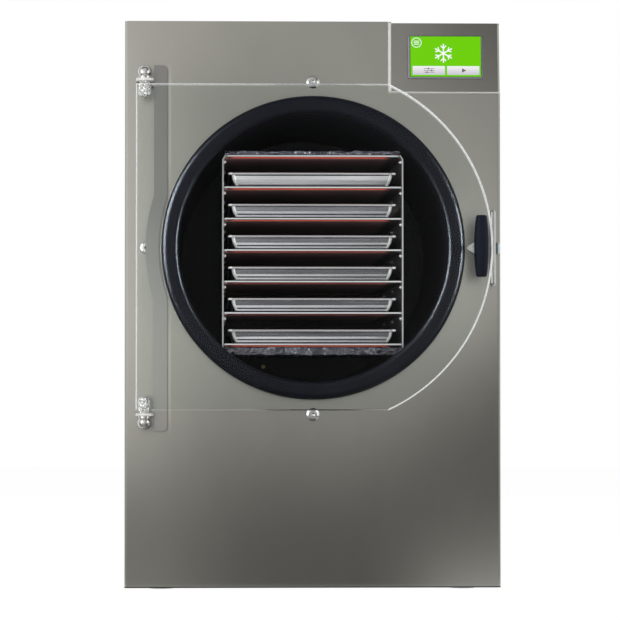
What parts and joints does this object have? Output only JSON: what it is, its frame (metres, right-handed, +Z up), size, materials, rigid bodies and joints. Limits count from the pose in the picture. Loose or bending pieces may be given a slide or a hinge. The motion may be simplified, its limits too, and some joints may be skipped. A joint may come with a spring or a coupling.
{
  "type": "freeze dryer",
  "caption": "Stainless steel freeze dryer with a clear hinged door on a round vacuum chamber, a heated rack of trays, a sloping touch screen and a turning latch.",
  "frame": {"origin": "on the floor, in the middle of the width and of the whole depth from the door handle's front to the vacuum nipple's end", "axes": "+Z up, +X to the right seen from the front, -Y towards the user in front of the door"},
  "size_m": [0.516, 0.7032, 0.78],
  "materials": {
    "stainless": "brushed, satin",
    "galvanised": "zinc-coated sheet",
    "display": "lit touch screen with a dark frame",
    "foot_rubber": "moulded",
    "chamber_black": "smooth dark coating",
    "gasket_rubber": "glossy moulded rubber",
    "chrome": "polished",
    "copper": "drawn copper tube",
    "foam": "rigid foam",
    "rack_metal": "rolled sheet",
    "heater_silicone": "silicone mat",
    "tray_steel": "brushed, rolled rim",
    "foil": "crumpled foil",
    "hinge_steel": "brushed, darker than the panel",
    "clear_acrylic": "clear, polished edges",
    "handle_black": "moulded, satin",
    "compressor_black": "satin paint",
    "condenser_fins": "finned block",
    "fan_plastic": "moulded",
    "brass": "machined",
    "lever_red": "dipped grip",
    "inlet_plastic": "moulded",
    "rocker_plastic": "moulded"
  },
  "bodies": {
    "cabinet": {"front_panel": "stainless", "control_panel": "stainless", "touch_display": "display", "side_panel_left": "stainless", "side_panel_right": "stainless", "top_panel": "stainless", "back_panel": "galvanised", "base_pan": "galvanised", "feet": "foot_rubber", "chamber": "chamber_black", "chamber_gasket": "gasket_rubber", "chamber_bolts": "chrome", "evaporator_coil": "copper", "chamber_insulation": "foam", "chamber_cradle": "galvanised", "rack_side_left": "rack_metal", "rack_side_right": "rack_metal", "rack_screws": "chrome", "foil_top": "foil", "foil_bottom": "foil", "shelf_1": "rack_metal", "shelf_2": "rack_metal", "shelf_3": "rack_metal", "shelf_4": "rack_metal", "shelf_5": "rack_metal", "shelf_6": "rack_metal", "shelf_7": "rack_metal", "heater_1": "heater_silicone", "heater_2": "heater_silicone", "heater_3": "heater_silicone", "heater_4": "heater_silicone", "heater_5": "heater_silicone", "heater_6": "heater_silicone", "heater_7": "heater_silicone", "tray_1": "tray_steel", "tray_2": "tray_steel", "tray_3": "tray_steel", "tray_4": "tray_steel", "tray_5": "tray_steel", "tray_6": "tray_steel", "hinge_plate": "hinge_steel", "hinge_studs": "hinge_steel", "hinge_pins": "chrome", "hinge_nuts": "chrome", "latch_keeper": "chrome", "compressor": "compressor_black", "condenser": "condenser_fins", "fan_frame": "fan_plastic", "control_box": "galvanised", "vacuum_fitting": "brass", "drain_valve": "brass", "power_inlet": "inlet_plastic"},
    "door": {"door": "clear_acrylic", "door_bushes": "chrome"},
    "latch": {"latch_handle": "handle_black", "latch_spindle": "chrome", "latch_cam": "chrome"},
    "fan": {"fan_blades": "fan_plastic"},
    "drain_lever": {"drain_lever": "lever_red"},
    "rocker": {"switch_rocker": "rocker_plastic"}
  },
  "joints": [
    {"name": "door_hinge", "type": "hinge", "parent": "cabinet", "child": "door", "pos_m": [-0.2297, -0.29715, 0.468], "axis": [0, 0, -1], "range_deg": [0, 165]},
    {"name": "latch_turn", "type": "hinge", "parent": "door", "child": "latch", "pos_m": [0.2253, -0.29715, 0.468], "axis": [0, 1, 0], "range_deg": [0, 45]},
    {"name": "fan_spin", "type": "hinge", "parent": "cabinet", "child": "fan", "pos_m": [0.1, 0.30215, 0.1065], "axis": [0, 1, 0], "continuous": true},
    {"name": "drain_lever_turn", "type": "hinge", "parent": "cabinet", "child": "drain_lever", "pos_m": [-0.06, 0.33765, 0.308], "axis": [0, 1, 0], "range_deg": [0, 90]},
    {"name": "power_switch", "type": "hinge", "parent": "cabinet", "child": "rocker", "pos_m": [-0.153, 0.31765, 0.12], "axis": [1, 0, 0], "range_deg": [0, 14]}
  ]
}
